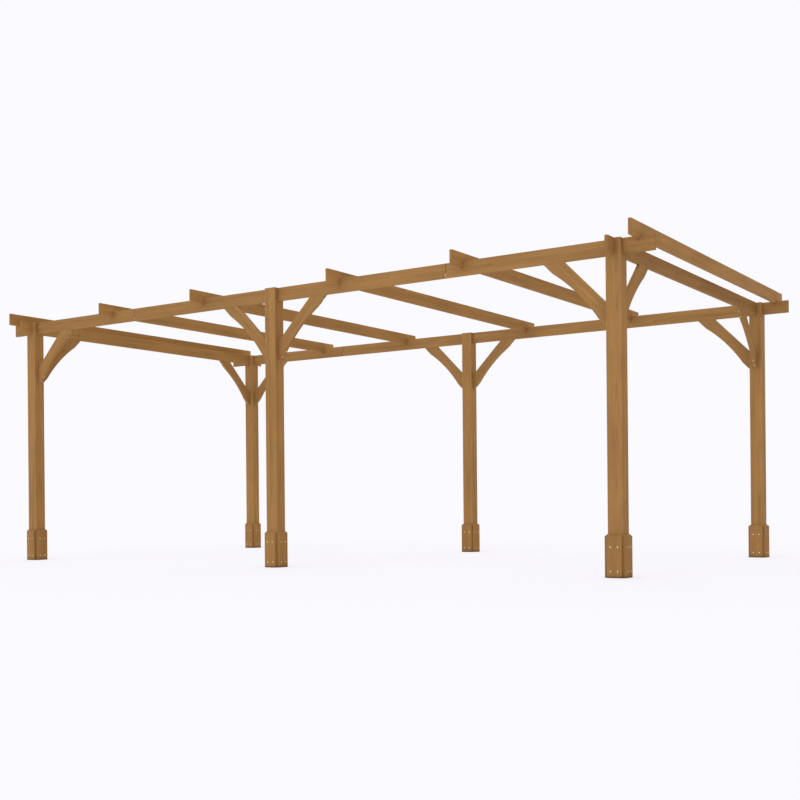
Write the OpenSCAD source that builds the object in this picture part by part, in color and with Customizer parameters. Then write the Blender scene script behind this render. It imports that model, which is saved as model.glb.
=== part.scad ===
// Garden pergola: six slotted posts carry two spliced beams, two ties, arched knee braces
// and rafters on edge. Millimetres. +X runs along the front, +Y to the back and +Z up.
// The origin is on the ground, in the middle of the six posts.

/* [Frame] */
// Distance between neighbouring posts of a row, centre to centre
post_pitch = 2783; // [2500:1:3100]
// Distance between the front and the back row, centre to centre
row_pitch = 2864; // [2400:1:3300]
// Height of the posts, which is also the top of the beams and ties
post_height = 2105; // [1900:1:2500]
// How far the beams run past the outer faces of the corner posts
beam_overhang = 209; // [150:1:320]
// How far the rafters and ties run past the outer faces of the posts
rafter_overhang = 98; // [60:1:220]

/* [Timber] */
// Side of the square posts
post_side = 100; // [85:1:120]
// Radius of the eased long edges of the posts
post_ease = 4; // [2:0.5:8]
// Thickness of the beams, ties, rafters and braces
board_thick = 22; // [16:1:30]
// Radius of the eased long edges of the beams, ties and rafters
board_ease = 2; // [1:0.5:5]
// Height of the beams and ties
beam_height = 100; // [85:1:130]
// Height of the rafters
rafter_height = 100; // [85:1:130]
// Play between a board and the slot or notch that it stands in
slot_play = 0.4; // [0.2:0.1:1]

/* [Rafters] */
// Depth of the slot in a rafter where it stands over a beam
rafter_slot = 18; // [10:1:30]
// Depth of the notch in a beam under an inner rafter
beam_notch = 27; // [15:1:35]
// From the middle post's centre to the first rafter on its left
rafter_first_left = 726; // [600:1:850]
// From the middle post's centre to the first rafter on its right
rafter_first_right = 622; // [590:1:850]
// Spacing of the two inner rafters of a bay
rafter_spacing = 1045; // [980:1:1100]

/* [Splices] */
// From the middle post's centre to the end of the lower tongue of a beam splice
splice_at = 1521; // [1400:1:1560]
// Length of the lap in a splice
splice_lap = 20; // [12:1:60]
// Height of the lower tongue in a splice
splice_tongue = 36; // [25:1:60]
// Gap left at the ends of a splice's tongues
splice_gap = 1.5; // [0.5:0.5:3]

/* [Braces] */
// Leg of a knee brace along the post and along the board, to its arched edge
brace_leg = 452; // [380:1:540]
// Width of a brace's plank before the arch is cut
brace_width = 105; // [85:1:130]
// Straight stretch at each end of the arched edge
brace_straight = 95; // [60:1:140]
// Depth of the arch
brace_arch = 22; // [10:1:35]

/* [Feet] */
// Height of the foot boards
foot_height = 272; // [180:1:350]
// Thickness of the foot boards
foot_thick = 22; // [16:1:30]
// How far a foot board's edge stays inside the post's corner
foot_inset = 1; // [0.5:0.5:5]
// Drop of the sloping top of the foot boards
foot_drop = 15; // [5:1:40]
// Level strip left at the top of the foot boards, along the post
foot_level = 1; // [0.5:0.5:10]

/* [Hidden] */
$fn = 180;
// How far a cutting shape runs past the face that it opens
over = 1;
wood_post = [0.65, 0.49, 0.32];
wood_board = [0.62, 0.45, 0.28];
wood_rafter = [0.60, 0.43, 0.26];
wood_foot = [0.64, 0.47, 0.30];

rows = ["front", "back"];
columns = ["left", "middle", "right"];
row_y = [-row_pitch / 2, row_pitch / 2];
column_x = [-post_pitch, 0, post_pitch];
half_post = post_side / 2;
half_beam = beam_height / 2;
slot_width = board_thick + slot_play;
beam_bottom = post_height - beam_height;
beam_end = post_pitch + half_post + beam_overhang;
rafter_end = row_pitch / 2 + half_post + rafter_overhang;
end_rafter_x = post_pitch + half_post + beam_overhang / 2;
splice_x = [-splice_at, splice_at];
rafter_places = ["left_end", "left_outer", "left_inner", "right_inner", "right_outer", "right_end"];
inner_rafter_x = [
    -rafter_first_left - rafter_spacing,
    -rafter_first_left,
    rafter_first_right,
    rafter_first_right + rafter_spacing
];
rafter_x = concat(-end_rafter_x, inner_rafter_x, end_rafter_x);
// End rafters stand on the beams' top edges, inner ones on the floors of the notches
rafter_bottom = [
    for (x = rafter_x)
        post_height - rafter_slot - (abs(x) == end_rafter_x ? 0 : beam_notch)
];

// Braces under the beams: the post that each stands against, and the way it leans
beam_brace_places = ["left", "middle_left", "middle_right", "right"];
beam_brace_column = [0, 1, 1, 2];
beam_brace_lean = [1, -1, 1, -1];

function post_name(row, column) = str("post_", rows[row], "_", columns[column]);
function foot_name(row, column) = str("foot_boards_", rows[row], "_", columns[column]);
function beam_name(row, column) = str("beam_", rows[row], "_", columns[column]);
function tie_name(column) = str("tie_", columns[column]);
function rafter_name(i) = str("rafter_", rafter_places[i]);
function beam_brace_name(row, i) = str("brace_", rows[row], "_", beam_brace_places[i]);
function tie_brace_name(column, row) = str("brace_", columns[column], "_", rows[row]);

// Rectangular section with its four corners rounded
module eased_section(wide, high, ease) {
    square([wide, high - 2 * ease], center = true);
    square([wide - 2 * ease, high], center = true);
    for (x = [-1, 1], y = [-1, 1])
        translate([x * (wide / 2 - ease), y * (high / 2 - ease)]) circle(r = ease);
}

// Planed board on edge along X, with its lower edge at height 0
module board_on_edge(from, to, high) {
    translate([from, 0, high / 2])
        rotate([90, 0, 90])
            linear_extrude(to - from) eased_section(board_thick, high, board_ease);
}

// Cutter through a board on edge between two places along X and two heights
module cut_across(from, to, low, high) {
    translate([from, -board_thick / 2 - over, low])
        cube([to - from, board_thick + 2 * over, high - low]);
}

// Cutter for a notch that another board stands in, around one place along X
module notch(at, low, high) {
    cut_across(at - slot_width / 2, at + slot_width / 2, low, high);
}

// Cutter for one slot through a post's head, along X
module head_slot() {
    translate([-half_post - over, -slot_width / 2, beam_bottom])
        cube([post_side + 2 * over, slot_width, beam_height + over]);
}

// Post with a slot for the beam, and a second slot across it at the corners for the tie
module post(row, column) {
    color(wood_post)
        translate([column_x[column], row_y[row], 0])
            difference() {
                linear_extrude(post_height) eased_section(post_side, post_side, post_ease);
                head_slot();
                if (column != 1) rotate(90) head_slot();
            }
}

// Board that stands on the ground against one face of a post, with its top sawn to a slope
module foot_board() {
    slope = atan(foot_drop / (foot_thick - foot_level));
    translate([half_post, 0, 0])
        difference() {
            translate([foot_thick / 2, 0, 0])
                linear_extrude(foot_height)
                    eased_section(foot_thick, post_side - 2 * foot_inset, board_ease);
            translate([foot_level, -half_post, foot_height])
                rotate([0, slope, 0])
                    cube([2 * foot_thick, post_side, foot_height]);
        }
}

module foot_boards(row, column) {
    color(wood_foot)
        translate([column_x[column], row_y[row], 0])
            for (turn = [0:90:270]) rotate(turn) foot_board();
}

// Cutter that leaves the lower tongue where a length of beam starts in a splice
module cut_lower_tongue(at) {
    cut_across(at, at + splice_lap + splice_gap, splice_tongue, beam_height + over);
}

// Cutter that leaves the upper tongue where a length of beam ends in a splice
module cut_upper_tongue(at) {
    cut_across(at, at + splice_lap + over, -over, splice_tongue);
}

// One length of a beam: each upper tongue lies on the lower tongue of the next length
module beam(row, column) {
    from = column == 0 ? -beam_end : splice_x[column - 1] + splice_gap;
    to = column == 2 ? beam_end : splice_x[column] + splice_lap;
    color(wood_board)
        translate([0, row_y[row], beam_bottom])
            difference() {
                board_on_edge(from, to, beam_height);
                if (column != 0) cut_lower_tongue(splice_x[column - 1]);
                if (column != 2) cut_upper_tongue(splice_x[column]);
                if (column != 1) notch(column_x[column], half_beam, beam_height + over);
                for (x = inner_rafter_x) notch(x, beam_height - beam_notch, beam_height + over);
            }
}

// Tie through the heads of two corner posts, halved from below over the beams
module tie(column) {
    color(wood_board)
        translate([column_x[column], 0, beam_bottom])
            rotate(90)
                difference() {
                    board_on_edge(-rafter_end, rafter_end, beam_height);
                    for (y = row_y) notch(y, -over, half_beam);
                }
}

// Rafter slotted from below over both beams
module rafter(i) {
    color(wood_rafter)
        translate([rafter_x[i], 0, rafter_bottom[i]])
            rotate(90)
                difference() {
                    board_on_edge(-rafter_end, rafter_end, rafter_height);
                    for (y = row_y) notch(y, -over, rafter_slot);
                }
}

// Knee brace towards +X, with the corner that it fills at the origin: a planed board at
// 45 degrees, mitred to the post and to the board above, with an arch sawn from its lower edge
module brace_plank() {
    edge = brace_leg * sqrt(2);
    chord = edge - 2 * brace_straight;
    arch_r = (chord * chord / 4 + brace_arch * brace_arch) / (2 * brace_arch);
    translate([0, 0, -brace_leg])
        difference() {
            intersection() {
                rotate([0, -45, 0]) board_on_edge(-brace_width, edge + brace_width, brace_width);
                translate([0, -board_thick, 0]) cube([brace_leg, 2 * board_thick, brace_leg]);
            }
            rotate([0, -45, 0])
                translate([edge / 2, 0, brace_arch - arch_r])
                    rotate([90, 0, 0])
                        cylinder(r = arch_r, h = 2 * board_thick, center = true);
        }
}

// Brace under a beam, from the face of a post to the left (-1) or the right (1)
module beam_brace(row, i) {
    lean = beam_brace_lean[i];
    color(wood_board)
        translate([column_x[beam_brace_column[i]] + lean * half_post, row_y[row], beam_bottom])
            rotate(lean > 0 ? 0 : 180) brace_plank();
}

// Brace under a tie, from a corner post towards the other row
module tie_brace(column, row) {
    inward = row == 0 ? 1 : -1;
    color(wood_board)
        translate([column_x[column], row_y[row] + inward * half_post, beam_bottom])
            rotate(inward * 90) brace_plank();
}

for (row = [0, 1], column = [0:2]) {
    post(row, column);
    foot_boards(row, column);
    beam(row, column);
}
for (column = [0, 2]) {
    tie(column);
}
for (i = [0:5]) {
    rafter(i);
}
for (row = [0, 1], i = [0:3]) {
    beam_brace(row, i);
}
for (column = [0, 2], row = [0, 1]) {
    tie_brace(column, row);
}
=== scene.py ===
"""Looks of a garden pergola: stained timber, screw heads, floor, light and camera.

Metres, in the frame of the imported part: +X along the front, +Y to the back and +Z up,
with the ground at z = 0.
"""

import math

import bpy
import numpy as np
from mathutils import Euler, Matrix, Vector


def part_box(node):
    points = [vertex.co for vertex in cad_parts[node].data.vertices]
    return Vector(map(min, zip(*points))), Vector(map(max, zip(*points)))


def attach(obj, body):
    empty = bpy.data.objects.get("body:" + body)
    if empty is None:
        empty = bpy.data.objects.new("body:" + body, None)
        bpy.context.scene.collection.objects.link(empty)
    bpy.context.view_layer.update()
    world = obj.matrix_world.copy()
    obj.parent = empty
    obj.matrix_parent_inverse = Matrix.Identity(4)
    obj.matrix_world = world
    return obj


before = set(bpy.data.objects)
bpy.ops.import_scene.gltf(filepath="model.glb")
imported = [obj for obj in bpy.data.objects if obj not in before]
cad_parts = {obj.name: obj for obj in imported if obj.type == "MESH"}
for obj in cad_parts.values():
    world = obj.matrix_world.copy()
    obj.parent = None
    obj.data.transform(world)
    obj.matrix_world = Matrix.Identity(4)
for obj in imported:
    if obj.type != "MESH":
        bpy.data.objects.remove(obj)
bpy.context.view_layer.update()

# Colours of the stained timber in linear light, and how much of the late wood's shows
EARLY_WOOD = (0.366, 0.192, 0.066, 1.0)
LATE_WOOD = (0.262, 0.129, 0.040, 1.0)
LATE_SHARE = 0.6
# Colour of each mark, in the order that they are laid on, and how much of it shows
MARK_COLORS = {
    "swirl": (LATE_WOOD, 0.16),
    "knot": ((0.145, 0.064, 0.022, 1.0), 0.32),
    # Lighter arrises: partly wear, partly a painted highlight along the edges
    "wear_and_highlight": ((0.430, 0.252, 0.103, 1.0), 0.6),
    # Stain in the sawn ends; at a beam splice partly painted shade of the joint
    "stain_and_joint_shade": ((0.240, 0.118, 0.039, 1.0), 1.0),
    "soil": ((0.170, 0.098, 0.046, 1.0), 0.35),
    # Darker along the very bottom of the feet
    "bottom_band": ((0.088, 0.045, 0.020, 1.0), 0.55),
    "checks": ((0.080, 0.037, 0.014, 1.0), 0.8),
}

# How light each kind of timber is, after single timbers listed first that are made lighter or darker as
# painted light and shade
TONES_AND_PAINTED_LIGHT = {
    # Painted shade on the right tie from the rafter beside it, and a painted fall of the light: lighter
    # at the front right, darker at the back
    "tie_right": 0.9,
    "beam_back_left": 0.92,
    "brace_front_right": 1.05,
    "brace_back_right": 0.89,
    "post": 1.01,
    "foot_boards": 0.96,
    "beam": 0.98,
    "tie": 1.01,
    "rafter": 1.02,
    "brace": 0.95,
}
TONE_SPREAD = 0.02

# Streaks along the grain: lumps to the metre with the grain and across it, and the noise's
# detail and roughness where it has its own
STREAKS = {
    "bands": (1.0, 30.0, 2.0),
    "fibres": (6.0, 330.0, 4.0, 0.65),
    "clouds": (2.6, 7.0, 2.0),
    "pores": (32.0, 1700.0),
}
# How far streaks lighten and darken the timber
STREAK_SHADES = {"bands": 0.10, "fibres": 0.07, "clouds": 0.08}
# Lumps and detail, in the same way, of what makes the other marks uneven
PITH_WAVES = (0.8, 0.3)
KNOT_WAVES = (40.0, 60.0)
RING_WAVES = (2.2, 16.0, 3.0)
CHECK_WAVES = (1.1, 26.0)
WEAR_AND_HIGHLIGHT_WAVES = (9.0, 20.0, 3.0)
# Values between which a noise mostly lies
NOISE_RANGE = (0.3, 0.7)

# Pith: how far it wanders, leans and lies from the middle of a post, a board or a foot board
PITH_WANDER = 0.018
POST_LEAN = 0.004
POST_PITH = 0.03
BOARD_LEAN = 0.012
BOARD_BESIDE_PITH = (0.02, 0.05)
BOARD_PITH = 0.05
FOOT_LEAN = 0.03
FOOT_BESIDE_PITH = -0.04
FOOT_PITH = 0.03
# How far apart the timbers lie in the noises, and the boards round one foot
GRAIN_START = 50
FOOT_BOARD_STARTS = (3.7, 1.9, 2.3)
GRAIN_SEED = 20

# Knots: their spacing and scatter, the odds past which one shows, their size, how fast they
# end behind the pith, and their edge and swirl as shares of their radius
KNOT_SPACING = 0.62
KNOT_SCATTER = 0.75
KNOT_ODDS = (0.6, 0.65)
KNOT_RADIUS = 0.008
KNOT_RADIUS_SPREAD = 0.009
KNOT_UNEVENNESS = 0.006
KNOT_ROOT = 3.0
KNOT_EDGE = (1.15, 0.85)
KNOT_SWIRL = (4.0, 0.6)

# Growth rings: their width, how uneven they are and how far they bend round a knot, the
# shares of a ring where late wood grows and ends, and how faint and strong it can be
RING_WIDTH = 0.0045
RING_UNEVENNESS = 0.012
RING_BEND = 0.010
LATE_GROWS = (0.2, 0.9)
LATE_ENDS = (1.0, 0.93)
LATE_STRENGTH = (0.45, 1.0)

# Ends of the timbers: how much stain the cut takes and how deep, the darker splice ends being also
# painted shade of the joint, and how much painted light lightens the overhangs and how far
SAWN_STAIN = 0.15
# Partly painted shade of the joint in a splice
SPLICE_STAIN_AND_SHADE = 0.8
OVERHANG_STAIN = 0.45
SAWN_DEPTHS = (0.007, 0.001)
# Painted light that lightens the overhangs
OVERHANG_PAINTED_LIGHT = 0.16
PAINTED_LIGHT_DEPTHS = (0.16, 0.12)

# Drying checks: how strong they are in a post and in a board, how wide, and their patches
POST_CHECKS = 0.4
BOARD_CHECKS = 0.15
CHECK_EDGE = (0.004, 0.001)
CHECK_PATCHES = (0.52, 0.6)

# Arris wear, which is also a painted highlight along the edges: their reach, the share of half the
# thickness added to it, and their patches
WEAR_AND_HIGHLIGHT_REACH = 0.003
WEAR_AND_HIGHLIGHT_THICK_SHARE = 0.18
WEAR_AND_HIGHLIGHT_PATCHES = (0.3, 0.6)

# Soil at the feet, and a dark band along their very bottom: the heights where they fade out and are
# full, how uneven the soil is, and how far the band's edge wanders with the fibres
SOIL_HEIGHTS = (0.065, 0.022)
SOIL_UNEVENNESS = 0.05
BOTTOM_BAND_HEIGHTS = (0.006, -0.003)
BOTTOM_BAND_RAGGEDNESS = 0.02

# Finish of the timber: its roughness between the fibres and on them, what marks add to it,
# the height of marks in the relief, the relief's strength and depth, and the gloss
TIMBER_ROUGHNESS = (0.62, 0.76)
MARK_ROUGHNESS = {"late": -0.06, "sawn": 0.14}
MARK_HEIGHTS = {"fibres": 0.5, "pores": 0.2, "late": 0.3, "checks": -1.5}
TIMBER_RELIEF = (0.8, 0.0004)
TIMBER_GLOSS = {"Specular IOR Level": 0.1}

# Softened saw cuts
SAWN_EDGE = 0.0008
SAWN_EDGE_SEGMENTS = 2
SAWN_EDGE_LIMIT = math.radians(50)
FLAT_LIMIT = math.radians(0.5)
JOIN_REACH = 0.00002
CUT_JOIN_REACH = 0.00001

# Screws: places from the edges of the boards that they hold
FOOT_SCREW_ASIDE = 0.024
FOOT_SCREW_HEIGHTS = (0.041, 0.191)
BRACE_SCREW_PLACES = (0.0425, 0.0945)
SPLICE_SCREW_IN = 0.0145
SPLICE_SCREW_UP = 0.0215
SPLICE_SCREW_SIZE = 0.85

# Profile of a screw head from the pole of its recess to the pole below: distance from the
# axis, height over the wood, and how far the recess swells into lobes
SCREW_PROFILE = np.array([
    (0.0016, 0.0004, 0.0003),
    (0.0018, 0.0013, 0.0003),
    (0.0038, 0.0012, 0.0),
    (0.0049, 0.0006, 0.0),
    (0.0050, -0.0004, 0.0),
])
SCREW_LOBES = 6
SCREW_SIDES = 12
SCREW_TURN_SEED = 5

# Finish of the screws: bright and dulled plating in patches, and a fine turned relief
BRIGHT_PLATING = (0.82, 0.66, 0.40, 1.0)
DULLED_PLATING = (0.66, 0.53, 0.34, 1.0)
PLATING_PATCHES = (260.0, 260.0, 3.0)
DULLED_RANGE = (0.42, 0.66)
PLATING_ROUGHNESS = (0.30, 0.48)
TURNING_MARKS = (1900.0, 1900.0, 2.0)
SCREW_RELIEF = (0.4, 0.00005)
SCREW_GLOSS = {"Metallic": 1.0}

# Light and ground
BACKDROP = (0.965, 0.956, 1.0, 1.0)
SKY_LIGHT = (0.725, 0.658, 0.50, 1.0)
LAMP_LIGHT = (0.78, 0.95, 1.28)
LAMP_SOFTNESS = math.radians(70)
LAMP_HEIGHT = math.radians(42)
# Strength of each lamp, and the heading that it shines towards, turned from +Y
LAMPS = {"key": (0.97, math.radians(-8)), "fill": (0.8, math.radians(-150))}
FLOOR_PAINT = (0.90, 0.89, 0.93, 1.0)
FLOOR_GLOW = (1.00, 0.99, 1.07, 1.0)
FLOOR_GLOW_SHARE = 0.6
FLOOR_REACH = 250.0

# Camera that took the picture
CAMERA_PLACE = (5.68311, -8.06743, 0.47578)
CAMERA_HEADING = 0.5878
CAMERA_ROLL = 0.0089
CAMERA_LENS = 51.5946
CAMERA_SHIFT = (-0.018171, 0.128585)
CAMERA_SIGHT = 1000.0


class Wiring:
    """Adds nodes to one tree, and joins them by passing a node's socket as a value."""

    def __init__(self, tree):
        self.tree = tree

    def node(self, kind, inputs=(), **settings):
        """One node with its settings, and its inputs filled by name or by number."""
        made = self.tree.nodes.new(kind)
        for key, value in settings.items():
            setattr(made, key, value)
        for key, value in dict(inputs).items():
            if isinstance(value, bpy.types.NodeSocket):
                self.tree.links.new(value, made.inputs[key])
            else:
                made.inputs[key].default_value = value
        return made

    def math(self, operation, *values):
        """Result of a sum on one to three numbers."""
        return self.node("ShaderNodeMath", enumerate(values), operation=operation).outputs[0]

    def product(self, result, *values):
        """Product of two or more numbers."""
        for value in values:
            result = self.math("MULTIPLY", result, value)
        return result

    def slide(self, value, start, end, low=0.0, high=1.0, way="LINEAR"):
        """Change from low to high while the value goes from start to end, straight unless said."""
        inputs = {"Value": value, "From Min": start, "From Max": end, "To Min": low, "To Max": high}
        return self.node("ShaderNodeMapRange", inputs, interpolation_type=way).outputs["Result"]

    def step(self, value, start, end):
        """Smooth change from 0 to 1 while the value goes from start to end."""
        return self.slide(value, start, end, way="SMOOTHSTEP")

    def shade(self, noise, amount):
        """Number round 1 that a noise raises and lowers by an amount."""
        return self.slide(noise, *NOISE_RANGE, 1 - amount, 1 + amount)

    def choose(self, share, first, second):
        """First number where the share is 0, second where it is 1."""
        return self.node("ShaderNodeMix", {0: share, 2: first, 3: second}).outputs[0]

    def blend(self, share, first, second):
        """Colour that goes from the first to the second with the share."""
        inputs = {0: share, 6: first, 7: second}
        return self.node("ShaderNodeMix", inputs, data_type="RGBA").outputs[2]

    def vector(self, operation, *values):
        """Result of a sum on vectors."""
        made = self.node("ShaderNodeVectorMath", enumerate(values), operation=operation)
        return made.outputs["Vector"]

    def gather(self, *numbers):
        """Vector of three numbers."""
        return self.node("ShaderNodeCombineXYZ", enumerate(numbers)).outputs[0]

    def parts(self, vector):
        """The three numbers of a vector or colour."""
        return self.node("ShaderNodeSeparateXYZ", {"Vector": vector}).outputs[:]

    def place(self):
        """Place on the object, which is its place in the frame."""
        return self.node("ShaderNodeTexCoord").outputs["Object"]

    def place_from(self, middle, turn=Euler()):
        """Place from a middle, along axes that are turned from the frame's."""
        inputs = {"Vector": self.place(), "Location": middle, "Rotation": turn}
        return self.node("ShaderNodeMapping", inputs, vector_type="TEXTURE").outputs["Vector"]

    def noise(self, place, along, across, detail=1.0, roughness=0.5, output="Fac"):
        """Noise with so many lumps to the metre along x, and along y and z."""
        inputs = {
            "Vector": self.vector("MULTIPLY", place, (along, across, across)),
            "Scale": 1.0,
            "Detail": detail,
            "Roughness": roughness,
        }
        return self.node("ShaderNodeTexNoise", inputs).outputs[output]


def new_group(name, inputs, outputs):
    """Empty node group with named sockets: its wiring, and the values that it is given."""
    tree = bpy.data.node_groups.new(name, "ShaderNodeTree")
    for way, sockets in (("INPUT", inputs), ("OUTPUT", outputs)):
        for socket, kind in sockets.items():
            tree.interface.new_socket(socket, in_out=way, socket_type="NodeSocket" + kind)
    wiring = Wiring(tree)
    return wiring, wiring.node("NodeGroupInput").outputs


def from_pith(wiring, place, along, pith):
    """Distances from the pith, across the thickness and across the height.

    The pith is a line that leans through the timber, and wanders by a few millimetres.
    """
    length, thick, high = wiring.parts(along)
    lean, pith_thick, pith_high = wiring.parts(pith)
    wander = wiring.noise(place, *PITH_WAVES, output="Color")
    reach = (0.0, 2 * PITH_WANDER, 2 * PITH_WANDER)
    wander = wiring.vector("MULTIPLY_ADD", wander, reach, (0.0, -PITH_WANDER, -PITH_WANDER))
    _, wander_thick, wander_high = wiring.parts(wander)
    from_thick = wiring.math("SUBTRACT", wiring.math("ADD", thick, wander_thick), pith_thick)
    from_thick = wiring.math("SUBTRACT", from_thick, wiring.product(length, lean))
    from_high = wiring.math("SUBTRACT", wiring.math("ADD", high, wander_high), pith_high)
    return from_thick, from_high


def knots(wiring, place, from_thick, from_high):
    """Shares of knot wood, and of the grain's swirl round it.

    A knot is a round branch that leaves the pith at an angle of its own, at most one to a
    stretch of the length. Its share falls with the distance from the line that it follows.
    """
    stretch = wiring.math("DIVIDE", wiring.parts(place)[0], KNOT_SPACING)
    inputs = {"W": stretch, "Scale": 1.0, "Randomness": KNOT_SCATTER}
    cell = wiring.node("ShaderNodeTexVoronoi", inputs, voronoi_dimensions="1D").outputs
    turn_share, size_share, odds = wiring.parts(cell["Color"])
    turn = wiring.product(turn_share, 2 * math.pi)
    turn_cos = wiring.math("COSINE", turn)
    turn_sin = wiring.math("SINE", turn)
    outward = wiring.math("MULTIPLY_ADD", from_thick, turn_cos, wiring.product(from_high, turn_sin))
    behind = wiring.product(wiring.math("MINIMUM", outward, 0.0), KNOT_ROOT)
    beside = wiring.math(
        "SUBTRACT", wiring.product(from_high, turn_cos), wiring.product(from_thick, turn_sin)
    )
    lengthwise = wiring.product(wiring.math("SUBTRACT", stretch, cell["W"]), KNOT_SPACING)
    off_line = wiring.gather(lengthwise, beside, behind)
    away = wiring.node("ShaderNodeVectorMath", {0: off_line}, operation="LENGTH").outputs["Value"]
    away = wiring.math("MULTIPLY_ADD", wiring.noise(place, *KNOT_WAVES), KNOT_UNEVENNESS, away)
    radius = wiring.math("MULTIPLY_ADD", size_share, KNOT_RADIUS_SPREAD, KNOT_RADIUS)
    away_share = wiring.math("DIVIDE", away, radius)
    present = wiring.step(odds, *KNOT_ODDS)
    knot = wiring.product(wiring.step(away_share, *KNOT_EDGE), present)
    swirl = wiring.product(wiring.step(away_share, *KNOT_SWIRL), present)
    return knot, swirl


def late_wood(wiring, place, from_thick, from_high, swirl):
    """Share of late wood in the growth rings.

    Rings are shells of even width round the pith, made uneven and bent round the knots. The
    share grows through a ring and drops at its end, and some rings are fainter than others.
    """
    square = wiring.math("MULTIPLY_ADD", from_thick, from_thick, wiring.product(from_high, from_high))
    radius = wiring.math("SQRT", square)
    radius = wiring.math("MULTIPLY_ADD", wiring.noise(place, *RING_WAVES), RING_UNEVENNESS, radius)
    radius = wiring.math("MULTIPLY_ADD", swirl, RING_BEND, radius)
    rings = wiring.math("DIVIDE", radius, RING_WIDTH)
    share = wiring.math("FRACT", rings)
    number = wiring.math("FLOOR", rings)
    chance = wiring.node("ShaderNodeTexWhiteNoise", {"W": number}, noise_dimensions="1D")
    return wiring.product(
        wiring.step(share, *LATE_GROWS),
        wiring.step(share, *LATE_ENDS),
        wiring.slide(chance.outputs["Value"], 0.0, 1.0, *LATE_STRENGTH),
    )


def end_marks(wiring, along, half_size, ends):
    """Shares of sawn end face and of stain in it, which at a splice is also painted shade of the joint,
    and of painted light that lightens the overhang near the end.
    """
    length = wiring.parts(along)[0]
    half_length = wiring.parts(half_size)[0]
    near_stain_and_shade, far_stain_and_shade, bleach = wiring.parts(ends)
    depth = wiring.math("SUBTRACT", half_length, wiring.math("ABSOLUTE", length))
    sawn = wiring.step(depth, *SAWN_DEPTHS)
    far_end = wiring.math("GREATER_THAN", length, 0.0)
    # At a beam splice this darker end is partly painted shade of the joint
    stain_and_joint_shade = wiring.product(sawn, wiring.choose(far_end, near_stain_and_shade, far_stain_and_shade))
    # Painted light over the last stretch near each end
    bleached = wiring.product(wiring.step(depth, *PAINTED_LIGHT_DEPTHS), bleach)
    return sawn, stain_and_joint_shade, bleached


def drying_checks(wiring, place, clouds, amount):
    """Share of thin cracks, which lie in patches where a stretched noise passes its middle."""
    off_middle = wiring.math("SUBTRACT", wiring.noise(place, *CHECK_WAVES), 0.5)
    crack = wiring.step(wiring.math("ABSOLUTE", off_middle), *CHECK_EDGE)
    return wiring.product(crack, wiring.step(clouds, *CHECK_PATCHES), amount)


def worn_and_highlit_arrises(wiring, place, along, half_size):
    """Share of lighter wood near both faces of a long edge, in patches: partly wear, partly a painted
    highlight along the edge.
    """
    _, thick, high = wiring.parts(along)
    _, half_thick, half_high = wiring.parts(half_size)
    reach = wiring.math("MULTIPLY_ADD", half_thick, WEAR_AND_HIGHLIGHT_THICK_SHARE, WEAR_AND_HIGHLIGHT_REACH)
    thick_depth = wiring.math("SUBTRACT", half_thick, wiring.math("ABSOLUTE", thick))
    high_depth = wiring.math("SUBTRACT", half_high, wiring.math("ABSOLUTE", high))
    return wiring.product(
        wiring.step(thick_depth, reach, 0.0),
        wiring.step(high_depth, reach, 0.0),
        wiring.step(wiring.noise(place, *WEAR_AND_HIGHLIGHT_WAVES), *WEAR_AND_HIGHLIGHT_PATCHES),
    )


def ground_marks(wiring, clouds, fibres):
    """Shares of soil splashed on the feet, and of a dark band along their very bottom, ragged along the
    fibres.
    """
    height = wiring.parts(wiring.place())[2]
    soil = wiring.step(wiring.math("MULTIPLY_ADD", clouds, SOIL_UNEVENNESS, height), *SOIL_HEIGHTS)
    bottom_band = wiring.step(wiring.math("MULTIPLY_ADD", fibres, -BOTTOM_BAND_RAGGEDNESS, height), *BOTTOM_BAND_HEIGHTS)
    return soil, bottom_band


def timber_marks(wiring, given):
    """Streaks and marks at a place in a timber, by name, each as a share."""
    along = given["Along"]
    half_size = given["Half size"]
    place = wiring.vector("ADD", along, given["Start"])
    pith_place = from_pith(wiring, place, along, given["Pith"])
    marks = {name: wiring.noise(place, *waves) for name, waves in STREAKS.items()}
    marks["knot"], marks["swirl"] = knots(wiring, place, *pith_place)
    marks["late"] = late_wood(wiring, place, *pith_place, marks["swirl"])
    ends = end_marks(wiring, along, half_size, given["Ends"])
    marks["sawn"], marks["stain_and_joint_shade"], marks["bleached"] = ends
    marks["checks"] = drying_checks(wiring, place, marks["clouds"], given["Checks"])
    marks["wear_and_highlight"] = worn_and_highlit_arrises(wiring, place, along, half_size)
    marks["soil"], marks["bottom_band"] = ground_marks(wiring, marks["clouds"], marks["fibres"])
    return marks


def timber_color(wiring, marks, tone_and_light):
    """Early and late wood, lighter or darker by how light the timber is, with painted light and shade
    in some single timbers, and by the streaks, lightened by painted light on the overhangs, under the
    marks.
    """
    shade = tone_and_light
    for name, amount in STREAK_SHADES.items():
        shade = wiring.product(shade, wiring.shade(marks[name], amount))
    # Painted light: the overhangs of rafters and ties are made lighter
    shade = wiring.product(shade, wiring.math("ADD", marks["bleached"], 1.0))
    rings = wiring.blend(wiring.product(marks["late"], LATE_SHARE), EARLY_WOOD, LATE_WOOD)
    shaded = wiring.node("ShaderNodeVectorMath", {0: rings, 3: shade}, operation="SCALE")
    color = shaded.outputs["Vector"]
    for name, (wood, share) in MARK_COLORS.items():
        color = wiring.blend(wiring.product(marks[name], share), color, wood)
    return color


def add_marks(wiring, value, marks, amounts):
    """A value plus an amount of each mark."""
    for name, amount in amounts.items():
        value = wiring.math("MULTIPLY_ADD", marks[name], amount, value)
    return value


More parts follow.
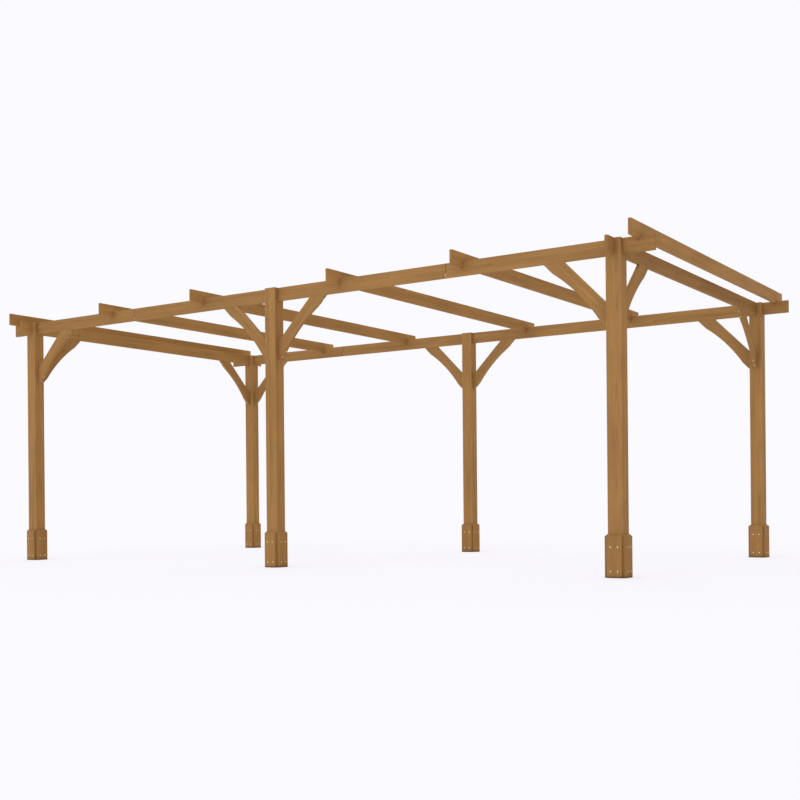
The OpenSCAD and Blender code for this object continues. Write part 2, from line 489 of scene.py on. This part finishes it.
def make_grain():
    """Node group that gives the colour, roughness and relief of a place in a timber.

    Along is the place in metres from the piece's middle: x with the grain, y across the
    thickness and z across the height. Ends are the near and far stain, which at a splice is also
    painted shade of the joint, and the share of painted light on the overhangs.
    """
    wiring, given = new_group(
        "timber_grain",
        {
            "Along": "Vector",
            "Half size": "Vector",
            "Pith": "Vector",
            "Start": "Vector",
            "Tone and painted light": "Float",
            "Checks": "Float",
            "Ends": "Vector",
        },
        {"Color": "Color", "Roughness": "Float", "Relief": "Float"},
    )
    marks = timber_marks(wiring, given)
    roughness = wiring.slide(marks["fibres"], *NOISE_RANGE, *TIMBER_ROUGHNESS)
    wiring.node("NodeGroupOutput", {
        "Color": timber_color(wiring, marks, given["Tone and painted light"]),
        "Roughness": add_marks(wiring, roughness, marks, MARK_ROUGHNESS),
        "Relief": add_marks(wiring, 0.0, marks, MARK_HEIGHTS),
    })
    return wiring.tree


def make_foot_places():
    """Node group that lays the four boards round a post's foot out as one board each.

    The place is from the post's middle line. The larger of its two level distances is
    across the thickness of a board, the other across its width, and the height is along
    the grain. Each of the four boards starts at a grain of its own.
    """
    wiring, given = new_group(
        "foot_board_places",
        {"From post": "Vector", "Middle thickness": "Float"},
        {"Along": "Vector", "Start": "Vector"},
    )
    x, y, z = wiring.parts(given["From post"])
    x_away = wiring.math("ABSOLUTE", x)
    y_away = wiring.math("ABSOLUTE", y)
    on_x = wiring.math("GREATER_THAN", x_away, y_away)
    outer = wiring.math("GREATER_THAN", wiring.math("ADD", x, y), 0.0)
    board = wiring.math("MULTIPLY_ADD", on_x, 2.0, outer)
    reach = wiring.math("MAXIMUM", x_away, y_away)
    thick = wiring.math("SUBTRACT", reach, given["Middle thickness"])
    along = wiring.gather(z, thick, wiring.choose(on_x, x, y))
    start = wiring.vector("MULTIPLY", wiring.gather(board, board, board), FOOT_BOARD_STARTS)
    wiring.node("NodeGroupOutput", {"Along": along, "Start": start})
    return wiring.tree


def new_material(name):
    """Empty material, and its wiring."""
    material = bpy.data.materials.new(name)
    material.use_nodes = True
    material.node_tree.nodes.clear()
    return material, Wiring(material.node_tree)


def add_shader(wiring, color, roughness, relief, relief_size, gloss):
    """Shader of a surface, with its relief as a bump of one strength and depth."""
    strength, depth = relief_size
    bump = wiring.node("ShaderNodeBump", {"Height": relief, "Strength": strength, "Distance": depth})
    inputs = {"Base Color": color, "Roughness": roughness, "Normal": bump.outputs["Normal"], **gloss}
    shader = wiring.node("ShaderNodeBsdfPrincipled", inputs)
    wiring.node("ShaderNodeOutputMaterial", {"Surface": shader.outputs["BSDF"]})


def add_grain(wiring, grain_group, inputs):
    """Shader of one timber, with the grain that its inputs give."""
    grain = wiring.node("ShaderNodeGroup", inputs, node_tree=grain_group).outputs
    add_shader(wiring, grain["Color"], grain["Roughness"], grain["Relief"], TIMBER_RELIEF, TIMBER_GLOSS)


def box_middle(name):
    """Middle of a node's box."""
    low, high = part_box(name)
    return (low + high) / 2


def names_of(kind):
    """Names of the nodes of one kind, in order."""
    return sorted(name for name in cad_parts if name.startswith(kind + "_"))


def brace_heading(name):
    """Angle about the vertical at which a brace leans away from the nearest post."""
    middle = box_middle(name)
    posts = [box_middle(post) for post in names_of("post")]
    lean = min((middle - post for post in posts), key=lambda away: away.xy.length)
    return math.atan2(lean.y, lean.x)


def timber_turn(name):
    """Turn that lays +X along a timber's grain: a rise above level, then a heading."""
    rise = 0.0
    heading = 0.0
    if name.startswith(("post_", "foot_boards_")):
        rise = math.pi / 2
    elif name.startswith(("tie_", "rafter_")):
        heading = math.pi / 2
    elif name.startswith("brace_"):
        rise = math.pi / 4
        heading = brace_heading(name)
    return Euler((0.0, -rise, heading))


def timber_extent(name, turn):
    """Middle of a timber in the frame, and half its size along and across the grain."""
    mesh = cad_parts[name].data
    corners = np.empty(len(mesh.vertices) * 3)
    mesh.vertices.foreach_get("co", corners)
    axes = np.array(turn.to_matrix())
    places = corners.reshape(-1, 3) @ axes
    low, high = places.min(axis=0), places.max(axis=0)
    return axes @ ((low + high) / 2), (high - low) / 2


def timber_pith(name, chance):
    """Lean of the pith along a timber, and its place across the thickness and the height.

    Posts hold their pith near the middle. Boards are cut beside it, and lean to it.
    """
    if name.startswith("post_"):
        return chance.uniform(-POST_LEAN, POST_LEAN), *chance.uniform(-POST_PITH, POST_PITH, 2)
    beside = chance.choice((-1, 1)) * chance.uniform(*BOARD_BESIDE_PITH)
    return chance.uniform(-BOARD_LEAN, BOARD_LEAN), beside, chance.uniform(-BOARD_PITH, BOARD_PITH)


def tone_with_painted_light(name, chance):
    """How light one timber is: near the first entry that its name fits, with painted light and shade in
    the single timbers listed.
    """
    tone_and_light = next(TONES_AND_PAINTED_LIGHT[kind] for kind in TONES_AND_PAINTED_LIGHT if name.startswith(kind))
    return tone_and_light * chance.uniform(1 - TONE_SPREAD, 1 + TONE_SPREAD)


def timber_ends(name):
    """Stain in a timber's near and far end, and how much painted light lightens both.

    The cut ends in a beam's splices drink the stain, and their darker ends are also painted shade of
    the joint. Rafters and ties overhang, and their overhangs get painted light.
    """
    if name.startswith(("rafter_", "tie_")):
        return OVERHANG_STAIN, OVERHANG_STAIN, OVERHANG_PAINTED_LIGHT
    near_splice = name.startswith("beam_") and not name.endswith("_left")
    far_splice = name.startswith("beam_") and not name.endswith("_right")
    near_stain_and_shade = SPLICE_STAIN_AND_SHADE if near_splice else SAWN_STAIN
    far_stain_and_shade = SPLICE_STAIN_AND_SHADE if far_splice else SAWN_STAIN
    return near_stain_and_shade, far_stain_and_shade, 0.0


def timber_material(name, grain_group, chance):
    """Material of a post, beam, tie, rafter or brace, cut from a log of its own."""
    turn = timber_turn(name)
    middle, half_size = timber_extent(name, turn)
    pith = timber_pith(name, chance)
    material, wiring = new_material(name + "_timber")
    add_grain(wiring, grain_group, {
        "Along": wiring.place_from(middle, turn),
        "Half size": half_size,
        "Pith": pith,
        "Start": chance.uniform(-GRAIN_START, GRAIN_START, 3),
        "Tone and painted light": tone_with_painted_light(name, chance),
        "Checks": POST_CHECKS if name.startswith("post_") else BOARD_CHECKS,
        "Ends": timber_ends(name),
    })
    return material


def foot_material(name, grain_group, places_group, chance):
    """Material of the four boards round a post's foot, each with a grain of its own."""
    low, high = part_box(name)
    post_low, post_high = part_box(name.replace("foot_boards", "post"))
    half_post = (post_high.x - post_low.x) / 2
    half_thick = ((high.x - low.x) / 2 - half_post) / 2
    half_height = (high.z - low.z) / 2
    material, wiring = new_material(name + "_timber")
    inputs = {
        "From post": wiring.place_from((low + high) / 2),
        "Middle thickness": half_post + half_thick,
    }
    laid = wiring.node("ShaderNodeGroup", inputs, node_tree=places_group).outputs
    start = chance.uniform(-GRAIN_START, GRAIN_START, 3)
    add_grain(wiring, grain_group, {
        "Along": laid["Along"],
        "Half size": (half_height, half_thick, half_post),
        "Start": wiring.vector("ADD", laid["Start"], start),
        "Pith": (FOOT_LEAN, FOOT_BESIDE_PITH, chance.uniform(-FOOT_PITH, FOOT_PITH)),
        "Tone and painted light": tone_with_painted_light(name, chance),
        "Checks": BOARD_CHECKS,
        "Ends": timber_ends(name),
    })
    return material


def add_modifier(piece, name, kind, **settings):
    """New modifier on a piece, with its settings."""
    modifier = piece.modifiers.new(name, kind)
    for key, value in settings.items():
        setattr(modifier, key, value)


def soften_saw_cuts(piece):
    """Joins a node's loose triangles, and rounds the arrises that the saw left sharp."""
    add_modifier(piece, "joined", "WELD", merge_threshold=JOIN_REACH)
    add_modifier(piece, "flat_faces", "DECIMATE", decimate_type="DISSOLVE", angle_limit=FLAT_LIMIT)
    add_modifier(
        piece,
        "softened_cuts",
        "BEVEL",
        width=SAWN_EDGE,
        segments=SAWN_EDGE_SEGMENTS,
        limit_method="ANGLE",
        angle_limit=SAWN_EDGE_LIMIT,
        loop_slide=False,
    )
    add_modifier(piece, "joined_cuts", "WELD", merge_threshold=CUT_JOIN_REACH)
    add_modifier(piece, "even_shading", "WEIGHTED_NORMAL", keep_sharp=True)


def dress_timbers():
    """Gives every timber a material of its own and softened saw cuts."""
    chance = np.random.default_rng(GRAIN_SEED)
    grain_group = make_grain()
    places_group = make_foot_places()
    for name in sorted(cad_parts):
        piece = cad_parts[name]
        if name.startswith("foot_boards_"):
            material = foot_material(name, grain_group, places_group, chance)
        else:
            material = timber_material(name, grain_group, chance)
        piece.material_slots[0].material = material
        soften_saw_cuts(piece)


def new_object(name, data):
    """New object in the scene, at the origin."""
    made = bpy.data.objects.new(name, data)
    bpy.context.scene.collection.objects.link(made)
    return made


def screw_points(places, normals, turns, size):
    """Points of screw heads, each a profile carried round its axis, with a pole at both ends.

    A point is the place, plus its distance from the axis times the cosine and sine of its
    angle along two directions across the axis, plus its height along the normal. In the
    recess the distance swells with the cosine of the angle times the number of lobes.
    """
    first = np.cross((0.0, 0.0, 1.0), normals)
    first /= np.linalg.norm(first, axis=1, keepdims=True)
    second = np.cross(normals, first)
    angles = np.arange(SCREW_SIDES) * 2 * math.pi / SCREW_SIDES
    turned = (angles + turns[:, None])[:, :, None]
    across = np.cos(turned) * first[:, None] + np.sin(turned) * second[:, None]
    away, up, lobe = SCREW_PROFILE.T * size
    reach = away[:, None] + lobe[:, None] * np.cos(SCREW_LOBES * angles)
    rings = (
        places[:, None, None]
        + reach[None, :, :, None] * across[:, None]
        + up[None, :, None, None] * normals[:, None, None]
    )
    poles = places[:, None] + up[[0, -1]][None, :, None] * normals[:, None]
    return np.concatenate([rings.reshape(len(places), -1, 3), poles], axis=1)


def screw_faces(count, points_each):
    """Faces of screw heads: bands of quads between the rings, and a fan round each pole."""
    side = np.arange(SCREW_SIDES)
    after = (side + 1) % SCREW_SIDES
    ring = np.arange(len(SCREW_PROFILE) - 1)[:, None] * SCREW_SIDES
    next_ring = ring + SCREW_SIDES
    last_ring = (len(SCREW_PROFILE) - 1) * SCREW_SIDES
    top_pole = np.full(SCREW_SIDES, points_each - 2)
    bands = np.stack([ring + after, ring + side, next_ring + side, next_ring + after], axis=-1)
    top_fan = np.stack([top_pole, side, after], axis=-1)
    low_fan = np.stack([top_pole + 1, last_ring + after, last_ring + side], axis=-1)
    shift = (np.arange(count) * points_each)[:, None, None]
    quads = (bands.reshape(1, -1, 4) + shift).reshape(-1, 4)
    fans = (np.concatenate([top_fan, low_fan])[None] + shift).reshape(-1, 3)
    return quads.tolist() + fans.tolist()


def screw_heads(name, places, normals, material, chance, size=1.0):
    """Screw heads as one piece, each turned as it happened to stop."""
    turns = chance.uniform(0, 2 * math.pi, len(places))
    points = screw_points(np.array(places, float), np.array(normals, float), turns, size)
    mesh = bpy.data.meshes.new(name)
    mesh.from_pydata(points.reshape(-1, 3).tolist(), [], screw_faces(*points.shape[:2]))
    mesh.materials.append(material)
    piece = new_object(name, mesh)
    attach(piece, "root")


def screw_material():
    """Yellow-passivated steel, dulled in patches, with a fine turned relief."""
    material, wiring = new_material("plated_screws")
    place = wiring.place()
    patches = wiring.noise(place, *PLATING_PATCHES)
    relief = wiring.noise(place, *TURNING_MARKS)
    color = wiring.blend(wiring.step(patches, *DULLED_RANGE), BRIGHT_PLATING, DULLED_PLATING)
    roughness = wiring.slide(patches, *NOISE_RANGE, *PLATING_ROUGHNESS)
    add_shader(wiring, color, roughness, relief, SCREW_RELIEF, SCREW_GLOSS)
    return material


def foot_screw_places():
    """Four screws on the outer face of each foot board, with the faces' normals."""
    places = []
    normals = []
    for name in names_of("foot_boards"):
        low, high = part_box(name)
        middle = (low + high) / 2
        reach = high.x - middle.x
        for quarter in range(4):
            heading = quarter * math.pi / 2
            outward = Vector((math.cos(heading), math.sin(heading), 0.0))
            aside = Vector((-outward.y, outward.x, 0.0))
            for side in (-1, 1):
                for height in FOOT_SCREW_HEIGHTS:
                    level = Vector((middle.x, middle.y, low.z + height))
                    places.append(level + outward * reach + aside * side * FOOT_SCREW_ASIDE)
                    normals.append(outward)
    return places, normals


def brace_screw_places():
    """Two screws at each end of each brace's lower edge, with the edge's normal."""
    places = []
    normals = []
    for name in names_of("brace"):
        low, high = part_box(name)
        middle = (low + high) / 2
        heading = brace_heading(name)
        level = Vector((math.cos(heading), math.sin(heading), 0.0))
        half_leg = (high.z - low.z) / 2
        tips = [
            Vector((middle.x, middle.y, low.z)) - level * half_leg,
            Vector((middle.x, middle.y, high.z)) + level * half_leg,
        ]
        along = (tips[1] - tips[0]).normalized()
        downward = (level - Vector((0.0, 0.0, 1.0))).normalized()
        for tip, inward in zip(tips, (along, -along)):
            for place in BRACE_SCREW_PLACES:
                places.append(tip + inward * place)
                normals.append(downward)
    return places, normals


def splice_screw_places():
    """One screw on the front face of the lower tongue of each beam splice, with its normal."""
    places = []
    normals = []
    for row in ("front", "back"):
        for column in ("middle", "right"):
            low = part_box(f"beam_{row}_{column}")[0]
            places.append(low + Vector((SPLICE_SCREW_IN, 0.0, SPLICE_SCREW_UP)))
            normals.append(Vector((0.0, -1.0, 0.0)))
    return places, normals


def drive_screws():
    """Screw heads at the feet, the braces and the beam splices."""
    chance = np.random.default_rng(SCREW_TURN_SEED)
    material = screw_material()
    screw_heads("foot_screws", *foot_screw_places(), material, chance)
    screw_heads("brace_screws", *brace_screw_places(), material, chance)
    screw_heads("splice_screws", *splice_screw_places(), material, chance, SPLICE_SCREW_SIZE)


def seen_directly(wiring):
    """1 where the camera, a reflection or a view through glass sees a surface, else 0."""
    path = wiring.node("ShaderNodeLightPath").outputs
    seen = wiring.math("MAXIMUM", path["Is Camera Ray"], path["Is Glossy Ray"])
    return wiring.math("MAXIMUM", seen, path["Is Transmission Ray"])


def floor_material():
    """Pale matt paint, with a glow where it is seen that leaves a soft part of the shadow."""
    material, wiring = new_material("pale_floor")
    matt = wiring.node("ShaderNodeBsdfDiffuse", {"Color": FLOOR_PAINT}).outputs["BSDF"]
    glow = wiring.node("ShaderNodeEmission", {"Color": FLOOR_GLOW, "Strength": 1.0}).outputs["Emission"]
    share = wiring.product(seen_directly(wiring), FLOOR_GLOW_SHARE)
    mixed = wiring.node("ShaderNodeMixShader", {0: share, 1: matt, 2: glow})
    wiring.node("ShaderNodeOutputMaterial", {"Surface": mixed.outputs["Shader"]})
    return material


def lay_floor():
    """Pale floor that runs on into the backdrop: one square on the ground."""
    mesh = bpy.data.meshes.new("floor")
    corners = [(x * FLOOR_REACH, y * FLOOR_REACH, 0.0) for x, y in ((-1, -1), (1, -1), (1, 1), (-1, 1))]
    mesh.from_pydata(corners, [], [(0, 1, 2, 3)])
    mesh.materials.append(floor_material())
    floor = new_object("floor", mesh)


def set_backdrop():
    """Even studio light from all round, and a white backdrop where it is seen."""
    world = bpy.data.worlds.new("studio")
    bpy.context.scene.world = world
    world.use_nodes = True
    world.node_tree.nodes.clear()
    wiring = Wiring(world.node_tree)
    light, white = (
        wiring.node("ShaderNodeBackground", {"Color": color, "Strength": 1.0}).outputs["Background"]
        for color in (SKY_LIGHT, BACKDROP)
    )
    mixed = wiring.node("ShaderNodeMixShader", {0: seen_directly(wiring), 1: light, 2: white})
    wiring.node("ShaderNodeOutputWorld", {"Surface": mixed.outputs["Shader"]})


def set_lamps():
    """Two soft lamps, one from the front and one from behind."""
    for name, (strength, heading) in LAMPS.items():
        light = bpy.data.lights.new(name, "SUN")
        light.energy = strength
        light.color = LAMP_LIGHT
        light.angle = LAMP_SOFTNESS
        lamp = new_object(name, light)
        lamp.rotation_euler = Euler((math.pi / 2 - LAMP_HEIGHT, 0.0, heading))


def set_camera():
    """Camera at the place, heading, roll and lens of the picture."""
    forward = Vector((-math.sin(CAMERA_HEADING), math.cos(CAMERA_HEADING), 0.0))
    right = Vector((forward.y, -forward.x, 0.0))
    up = Vector((0.0, 0.0, 1.0))
    side = right * math.cos(CAMERA_ROLL) - up * math.sin(CAMERA_ROLL)
    top = up * math.cos(CAMERA_ROLL) + right * math.sin(CAMERA_ROLL)
    data = bpy.data.cameras.new("camera")
    data.lens = CAMERA_LENS
    data.shift_x, data.shift_y = CAMERA_SHIFT
    data.clip_end = CAMERA_SIGHT
    camera = new_object("camera", data)
    camera.location = CAMERA_PLACE
    camera.rotation_euler = Matrix((side, top, -forward)).transposed().to_euler()
    bpy.context.scene.camera = camera


dress_timbers()
drive_screws()
lay_floor()
set_backdrop()
set_lamps()
set_camera()
bpy.context.scene.view_settings.view_transform = "Standard"
